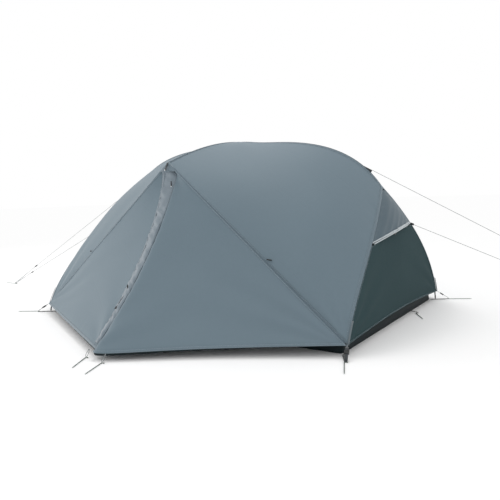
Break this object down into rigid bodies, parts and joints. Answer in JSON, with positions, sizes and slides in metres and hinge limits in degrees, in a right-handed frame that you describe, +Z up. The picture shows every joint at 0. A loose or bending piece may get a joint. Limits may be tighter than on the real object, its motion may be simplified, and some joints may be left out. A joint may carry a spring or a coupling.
{
  "type": "frame tent",
  "caption": "Two-person hub-pole tent with fly, inner tent, two porches with roll-back doors, vents, guys and pegs, pitched on the ground.",
  "frame": {"origin": "on the ground, at the centre of the pitched tent's footprint", "axes": "+X along the ridge to end a, +Y to the rear porch, +Z up"},
  "size_m": [5.2204, 2.984, 1.0899],
  "materials": {
    "fly_cloth": "ripstop polyester, PU coated",
    "flap_cloth": "ripstop polyester, two layers",
    "end_cloth": "dark ripstop polyester",
    "piping": "reflective piping",
    "tub_cloth": "PU coated polyester",
    "inner_mesh": "no-see-um mesh and breathable polyester",
    "plastic": "moulded nylon and acetal",
    "ferrule": "plain",
    "pole": "anodised",
    "cord_elastic": "braided elastic",
    "webbing": "polyester webbing",
    "peg": "anodised",
    "guy_cord": "braided polyester",
    "slider": "black enamel",
    "zip": "nylon coil"
  },
  "bodies": {
    "tent": {"apex_patches": "fly_cloth", "canopy_front": "fly_cloth", "canopy_rear": "fly_cloth", "cross_hub": "plastic", "cross_pole": "pole", "end_loops": "cord_elastic", "floor_tub": "tub_cloth", "fly_end_a": "end_cloth", "fly_end_b": "end_cloth", "fly_straps": "webbing", "guy_lower_a": "guy_cord", "guy_lower_b": "guy_cord", "guy_pegs": "peg", "guy_points": "webbing", "guy_upper_a": "guy_cord", "guy_upper_b": "guy_cord", "hood_pipings": "piping", "inner_clips": "plastic", "inner_end_a": "inner_mesh", "inner_end_b": "inner_mesh", "inner_side_front": "inner_mesh", "inner_side_rear": "inner_mesh", "leg_poles": "pole", "pegs": "peg", "pole_ferrules": "ferrule", "pole_hubs": "plastic", "pole_tips": "plastic", "ridge_pole": "pole", "shock_cords": "cord_elastic", "tub_straps": "webbing", "vent_hood_a": "fly_cloth", "vent_hood_b": "fly_cloth"},
    "door_front_a": {"fly_door_front_a": "fly_cloth"},
    "door_front_b": {"fly_door_front_b": "fly_cloth", "storm_flap_front": "flap_cloth", "zip_front": "zip", "flap_toggles_front": "plastic"},
    "door_rear_b": {"fly_door_rear_b": "fly_cloth"},
    "door_rear_a": {"fly_door_rear_a": "fly_cloth", "storm_flap_rear": "flap_cloth", "zip_rear": "zip", "flap_toggles_rear": "plastic"},
    "zip_slider_front": {"zip_slider_front": "slider"},
    "zip_slider_rear": {"zip_slider_rear": "slider"},
    "inner_door_front": {"inner_door_front": "inner_mesh"},
    "inner_door_rear": {"inner_door_rear": "inner_mesh"},
    "vent_prop_a": {"vent_prop_a": "plastic"},
    "vent_prop_b": {"vent_prop_b": "plastic"},
    "ladder_lock_a_front": {"ladder_lock_a_front": "plastic"},
    "ladder_lock_b_front": {"ladder_lock_b_front": "plastic"},
    "ladder_lock_a_rear": {"ladder_lock_a_rear": "plastic"},
    "ladder_lock_b_rear": {"ladder_lock_b_rear": "plastic"},
    "runner_upper_a": {"runner_upper_a": "plastic"},
    "runner_upper_b": {"runner_upper_b": "plastic"},
    "runner_lower_a": {"runner_lower_a": "plastic"},
    "runner_lower_b": {"runner_lower_b": "plastic"},
    "seam_toggle_front_a": {"seam_toggle_front_a": "plastic"},
    "seam_toggle_rear_b": {"seam_toggle_rear_b": "plastic"},
    "seam_toggle_front_b": {"seam_toggle_front_b": "plastic"},
    "seam_toggle_rear_a": {"seam_toggle_rear_a": "plastic"}
  },
  "joints": [
    {"name": "door_front_a_swing", "type": "hinge", "parent": "tent", "child": "door_front_a", "pos_m": [0, -0.685, 0.933], "axis": [-0.7757, 0.0445, 0.6295], "range_deg": [0, 110]},
    {"name": "door_front_b_swing", "type": "hinge", "parent": "tent", "child": "door_front_b", "pos_m": [0, -0.685, 0.933], "axis": [-0.7757, -0.0445, -0.6295], "range_deg": [0, 110]},
    {"name": "door_rear_b_swing", "type": "hinge", "parent": "tent", "child": "door_rear_b", "pos_m": [0, 0.685, 0.933], "axis": [0.7757, -0.0445, 0.6295], "range_deg": [0, 110]},
    {"name": "door_rear_a_swing", "type": "hinge", "parent": "tent", "child": "door_rear_a", "pos_m": [0, 0.685, 0.933], "axis": [0.7757, 0.0445, -0.6295], "range_deg": [0, 110]},
    {"name": "zip_front_travel", "type": "hinge", "parent": "door_front_b", "child": "zip_slider_front", "pos_m": [0.05, -2.86529, 1.88532], "axis": [1, 0, 0], "range_deg": [0, 22.4]},
    {"name": "zip_rear_travel", "type": "hinge", "parent": "door_rear_a", "child": "zip_slider_rear", "pos_m": [-0.05, 2.86529, 1.88532], "axis": [-1, 0, 0], "range_deg": [0, 22.4]},
    {"name": "inner_door_front_fold", "type": "hinge", "parent": "tent", "child": "inner_door_front", "pos_m": [0, -0.6872, 0.179], "axis": [-1, 0, 0], "range_deg": [0, 80]},
    {"name": "inner_door_rear_fold", "type": "hinge", "parent": "tent", "child": "inner_door_rear", "pos_m": [0, 0.6872, 0.179], "axis": [1, 0, 0], "range_deg": [0, 80]},
    {"name": "vent_prop_a_fold", "type": "hinge", "parent": "tent", "child": "vent_prop_a", "pos_m": [1.06282, -0.04242, 0.50173], "axis": [0, 1, 0], "range_deg": [0, 95]},
    {"name": "vent_prop_b_fold", "type": "hinge", "parent": "tent", "child": "vent_prop_b", "pos_m": [-1.06282, 0.04242, 0.50173], "axis": [0, -1, 0], "range_deg": [0, 95]},
    {"name": "ladder_lock_a_front_adjust", "type": "slide", "parent": "tent", "child": "ladder_lock_a_front", "axis": [0.2776, -0.8042, -0.5255], "range_m": [0, 0.02]},
    {"name": "ladder_lock_b_front_adjust", "type": "slide", "parent": "tent", "child": "ladder_lock_b_front", "axis": [-0.7762, -0.3445, -0.5281], "range_m": [0, 0.02]},
    {"name": "ladder_lock_a_rear_adjust", "type": "slide", "parent": "tent", "child": "ladder_lock_a_rear", "axis": [0.7762, 0.3445, -0.5281], "range_m": [0, 0.02]},
    {"name": "ladder_lock_b_rear_adjust", "type": "slide", "parent": "tent", "child": "ladder_lock_b_rear", "axis": [-0.2776, 0.8042, -0.5255], "range_m": [0, 0.02]},
    {"name": "runner_upper_a_travel", "type": "slide", "parent": "tent", "child": "runner_upper_a", "axis": [-0.874, -0.0683, 0.4811], "range_m": [0, 0.3]},
    {"name": "runner_upper_b_travel", "type": "slide", "parent": "tent", "child": "runner_upper_b", "axis": [0.874, 0.0683, 0.4811], "range_m": [0, 0.3]},
    {"name": "runner_lower_a_travel", "type": "slide", "parent": "tent", "child": "runner_lower_a", "axis": [-0.9306, 0.0858, 0.3558], "range_m": [0, 0.3]},
    {"name": "runner_lower_b_travel", "type": "slide", "parent": "tent", "child": "runner_lower_b", "axis": [0.9306, -0.0858, 0.3558], "range_m": [0, 0.3]},
    {"name": "seam_toggle_front_a_turn", "type": "hinge", "parent": "tent", "child": "seam_toggle_front_a", "pos_m": [0.66257, -0.71194, 0.42195], "axis": [0.5053, -0.5537, 0.6618], "range_deg": [-80, 80]},
    {"name": "seam_toggle_rear_b_turn", "type": "hinge", "parent": "tent", "child": "seam_toggle_rear_b", "pos_m": [-0.66257, 0.71194, 0.42195], "axis": [-0.5053, 0.5537, 0.6618], "range_deg": [-80, 80]},
    {"name": "seam_toggle_front_b_turn", "type": "hinge", "parent": "tent", "child": "seam_toggle_front_b", "pos_m": [-0.66257, -0.71194, 0.42195], "axis": [-0.5053, -0.5537, 0.6618], "range_deg": [-80, 80]},
    {"name": "seam_toggle_rear_a_turn", "type": "hinge", "parent": "tent", "child": "seam_toggle_rear_a", "pos_m": [0.66257, 0.71194, 0.42195], "axis": [0.5053, 0.5537, 0.6618], "range_deg": [-80, 80]}
  ]
}
